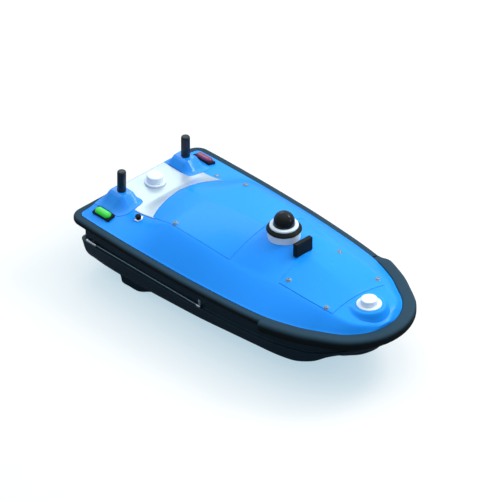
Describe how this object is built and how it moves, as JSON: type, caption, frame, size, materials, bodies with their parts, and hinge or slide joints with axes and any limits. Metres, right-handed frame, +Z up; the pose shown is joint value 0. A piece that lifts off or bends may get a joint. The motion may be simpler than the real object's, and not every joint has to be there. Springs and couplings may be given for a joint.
{
  "type": "uncrewed surface vessel",
  "caption": "Small decked survey boat with a triple hull, ducted propellers, lift-off hatches, antennas, a dome camera and a radar.",
  "frame": {"origin": "on the floor under the middle of the boat's overall length and beam", "axes": "+X to the bow, +Y to port, +Z up"},
  "size_m": [1.5147, 0.7426, 0.5305],
  "materials": {
    "deck_blue": "glossy gelcoat",
    "hull_dark": "dark gelcoat, satin",
    "slate_rubber": "matt slate rubber",
    "pale_plate": "pale satin plate",
    "stainless": "polished stainless",
    "green_lens": "clear green lens",
    "red_lens": "clear red lens",
    "bronze": "cast propeller bronze",
    "seal_rubber": "black sealing rubber",
    "battery_grey": "plain case",
    "gloss_black": "smoked glossy dome",
    "white_plastic": "satin white",
    "black_plastic": "matt black"
  },
  "bodies": {
    "boat": {"battery_block": "battery_grey", "bow_boss": "deck_blue", "bow_bumper": "slate_rubber", "bow_position_antenna": "white_plastic", "bow_position_flange": "white_plastic", "camera_base": "white_plastic", "camera_dome": "gloss_black", "camera_lower_ring": "black_plastic", "camera_upper_ring": "white_plastic", "deck_cap_port": "stainless", "deck_moulding": "deck_blue", "front_hatch_seal": "seal_rubber", "hull_moulding": "hull_dark", "long_hatch_seal": "seal_rubber", "motor_pod_port": "black_plastic", "motor_pod_starboard": "black_plastic", "nav_lens_port": "red_lens", "nav_lens_starboard": "green_lens", "nav_light_base_port": "black_plastic", "nav_light_base_starboard": "black_plastic", "radar_box": "black_plastic", "rod_clip_fore_port": "stainless", "rod_clip_fore_starboard": "stainless", "rod_sleeve_aft_port": "stainless", "rod_sleeve_aft_starboard": "stainless", "rub_rail": "slate_rubber", "side_rod_port": "stainless", "side_rod_starboard": "stainless", "skeg_port": "hull_dark", "skeg_starboard": "hull_dark", "stern_fairing_port": "deck_blue", "stern_fairing_starboard": "deck_blue", "stern_plate": "pale_plate", "stern_position_antenna": "white_plastic", "stern_position_flange": "white_plastic", "switch_knob": "black_plastic", "switch_nut": "stainless", "thruster_nozzle_port": "black_plastic", "thruster_nozzle_starboard": "black_plastic", "whip_antenna_port": "black_plastic", "whip_antenna_starboard": "black_plastic"},
    "screw_starboard": {"propeller_starboard": "bronze"},
    "screw_port": {"propeller_port": "bronze"},
    "long_lid": {"long_hatch_cover": "deck_blue", "long_hatch_screw_port": "stainless", "long_hatch_screw_starboard": "stainless"},
    "front_lid": {"front_hatch_cover": "deck_blue", "front_hatch_screw_aft_port": "stainless", "front_hatch_screw_aft_starboard": "stainless", "front_hatch_screw_fore_port": "stainless", "front_hatch_screw_fore_starboard": "stainless"}
  },
  "joints": [
    {"name": "propeller_starboard_spin", "type": "hinge", "parent": "boat", "child": "screw_starboard", "pos_m": [-0.6543, -0.163, 0.082], "axis": [1, 0, 0], "continuous": true},
    {"name": "propeller_port_spin", "type": "hinge", "parent": "boat", "child": "screw_port", "pos_m": [-0.6543, 0.163, 0.082], "axis": [1, 0, 0], "continuous": true},
    {"name": "long_hatch_lift", "type": "slide", "parent": "boat", "child": "long_lid", "axis": [0, 0, 1], "range_m": [0, 0.3]},
    {"name": "front_hatch_lift", "type": "slide", "parent": "boat", "child": "front_lid", "axis": [0, 0, 1], "range_m": [0, 0.3]}
  ]
}
